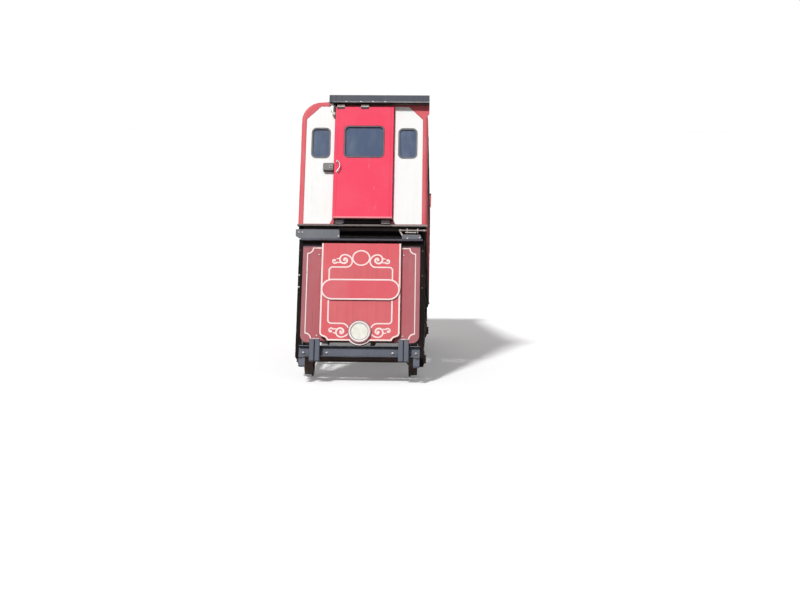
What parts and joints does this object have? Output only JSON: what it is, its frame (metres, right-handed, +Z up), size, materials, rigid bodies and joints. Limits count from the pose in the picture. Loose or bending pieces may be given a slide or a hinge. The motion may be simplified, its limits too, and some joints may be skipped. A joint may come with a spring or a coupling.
{
  "type": "funicular car",
  "caption": "Level passenger cabin with sliding end doors on a wedge-shaped steel underframe with flanged wheelsets for a steep inclined railway.",
  "frame": {"origin": "on the plane of the rail tops, midway between the rails and midway between the two axles", "axes": "+Y level and uphill, +X level to the right when looking uphill, +Z up; the rails climb along +Y at 23 degrees"},
  "size_m": [2.024, 4.564, 4.3511],
  "materials": {
    "body_red": "gloss",
    "panel_white": "gloss",
    "roof_paint": "satin",
    "cover_grey": "satin",
    "frame_grey": "satin",
    "frame_black": "satin",
    "board_dull_red": "satin",
    "board_red": "satin",
    "medallion": "satin",
    "wheel_steel": "worn",
    "cast_box": "matte",
    "bright_steel": "satin",
    "sill_metal": "satin",
    "window_rubber": "matte",
    "mount_rubber": "matte",
    "glass": "polished",
    "bench_wood": "varnished",
    "deck": "matte"
  },
  "bodies": {
    "car": {"apron_plates": "frame_grey", "axle_boxes": "cast_box", "axle_guards": "frame_black", "axle_springs": "mount_rubber", "bench_legs": "bright_steel", "bench_seats": "bench_wood", "body_mounts": "mount_rubber", "bolsters": "frame_black", "brake_carriers": "frame_black", "brake_jaws": "cast_box", "buffers": "frame_grey", "cross_members": "frame_black", "door_locks": "cover_grey", "door_track_covers": "cover_grey", "door_tracks": "bright_steel", "end_panels": "panel_white", "floor_bearers": "frame_black", "floor_deck": "deck", "frame_diagonals": "frame_black", "frame_uprights": "frame_black", "front_beams": "frame_grey", "front_posts": "frame_black", "grab_rails": "bright_steel", "haulage_lug": "bright_steel", "inclined_chords": "frame_black", "lower_end_frame": "body_red", "medallion": "medallion", "name_plate": "board_red", "rail_guards": "frame_grey", "release_shaft": "bright_steel", "roof": "roof_paint", "side_wall_left": "body_red", "side_wall_right": "body_red", "sign_back_board": "board_dull_red", "sign_centre_board": "board_red", "sill_strips": "sill_metal", "sole_bars": "frame_black", "top_chords": "frame_black", "upper_end_frame": "body_red", "window_glass": "glass", "window_rubbers": "window_rubber"},
    "lower_wheelset": {"lower_wheelset": "wheel_steel"},
    "upper_wheelset": {"upper_wheelset": "wheel_steel"},
    "lower_door": {"lower_door": "body_red", "lower_door_rubber": "window_rubber", "lower_door_glass": "glass", "lower_door_fittings": "bright_steel"},
    "upper_door": {"upper_door": "body_red", "upper_door_rubber": "window_rubber", "upper_door_glass": "glass", "upper_door_fittings": "bright_steel"}
  },
  "joints": [
    {"name": "lower_axle_spin", "type": "hinge", "parent": "car", "child": "lower_wheelset", "pos_m": [0, -1.54748, -0.38527], "axis": [1, 0, 0], "continuous": true},
    {"name": "upper_axle_spin", "type": "hinge", "parent": "car", "child": "upper_wheelset", "pos_m": [0, 1.35211, 0.84553], "axis": [1, 0, 0], "continuous": true},
    {"name": "lower_door_slide", "type": "slide", "parent": "car", "child": "lower_door", "axis": [1, 0, 0], "range_m": [0, 0.8]},
    {"name": "upper_door_slide", "type": "slide", "parent": "car", "child": "upper_door", "axis": [1, 0, 0], "range_m": [0, 0.8]}
  ]
}
